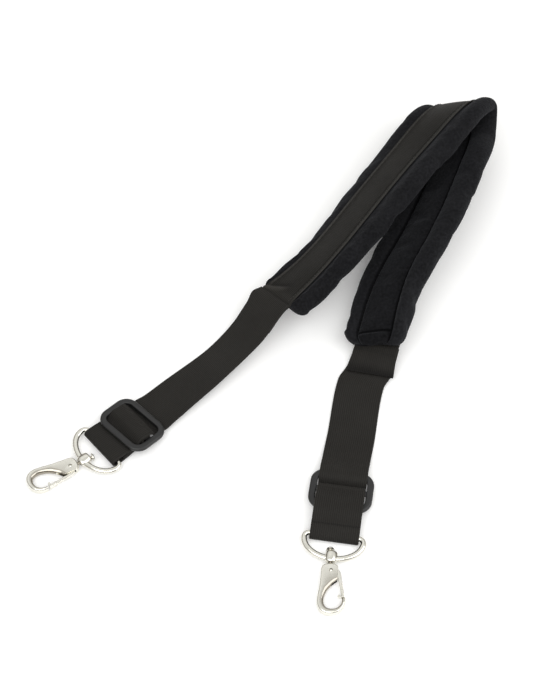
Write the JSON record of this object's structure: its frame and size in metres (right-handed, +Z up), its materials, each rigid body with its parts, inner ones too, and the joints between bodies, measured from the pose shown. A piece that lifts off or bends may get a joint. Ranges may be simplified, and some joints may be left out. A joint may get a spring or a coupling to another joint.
{
  "type": "bass drum strap",
  "caption": "Padded shoulder band with adjusting webbing, slider, ring and swivel snap hook at each end, lying folded in a hairpin.",
  "frame": {"origin": "on the floor, under the middle of the strap as it lies", "axes": "+Y from the snap hooks towards the fold, +X to the right when seen from the hooks, +Z up"},
  "size_m": [0.5106, 0.6512, 0.0895],
  "materials": {
    "felt": "soft brushed synthetic felt over stuffing",
    "webbing": "flat ribbed polypropylene webbing",
    "slider_plastic": "satin moulded",
    "nickel": "bright nickel plate"
  },
  "bodies": {
    "strap": {"shoulder_pad": "felt", "pad_webbing": "webbing", "left_webbing": "webbing", "right_webbing": "webbing", "left_slider": "slider_plastic", "right_slider": "slider_plastic"},
    "left_ring_body": {"left_ring": "nickel"},
    "left_hook_body": {"left_swivel_pin": "nickel", "left_hook": "nickel", "left_gate_rivet": "nickel"},
    "left_gate_body": {"left_gate": "nickel"},
    "right_ring_body": {"right_ring": "nickel"},
    "right_hook_body": {"right_swivel_pin": "nickel", "right_hook": "nickel", "right_gate_rivet": "nickel"},
    "right_gate_body": {"right_gate": "nickel"}
  },
  "joints": [
    {"name": "left_ring_hinge", "type": "hinge", "parent": "strap", "child": "left_ring_body", "pos_m": [-0.17787, -0.12967, 0.00592], "axis": [-0.6437, 0.7653, -0.001], "range_deg": [-120, 120]},
    {"name": "left_hook_swivel", "type": "hinge", "parent": "left_ring_body", "child": "left_hook_body", "pos_m": [-0.20159, -0.14963, 0.00536], "axis": [-0.8823, -0.4704, -0.0177], "continuous": true},
    {"name": "left_gate_hinge", "type": "hinge", "parent": "left_hook_body", "child": "left_gate_body", "pos_m": [-0.21061, -0.15501, 0.00518], "axis": [0.0143, 0.0108, -0.9998], "range_deg": [0, 20], "stiffness_Nm_per_rad": 0.03, "springref_deg": -8.59},
    {"name": "right_ring_hinge", "type": "hinge", "parent": "strap", "child": "right_ring_body", "pos_m": [0.0602, -0.23658, 0.00537], "axis": [-0.9888, 0.1485, 0.0117], "range_deg": [-120, 120]},
    {"name": "right_hook_swivel", "type": "hinge", "parent": "right_ring_body", "child": "right_hook_body", "pos_m": [0.05559, -0.26723, 0.00492], "axis": [-0.0096, -0.9998, -0.016], "continuous": true},
    {"name": "right_gate_hinge", "type": "hinge", "parent": "right_hook_body", "child": "right_gate_body", "pos_m": [0.05599, -0.27774, 0.00475], "axis": [-0.0094, 0.0161, -0.9998], "range_deg": [0, 20], "stiffness_Nm_per_rad": 0.03, "springref_deg": -8.59}
  ]
}
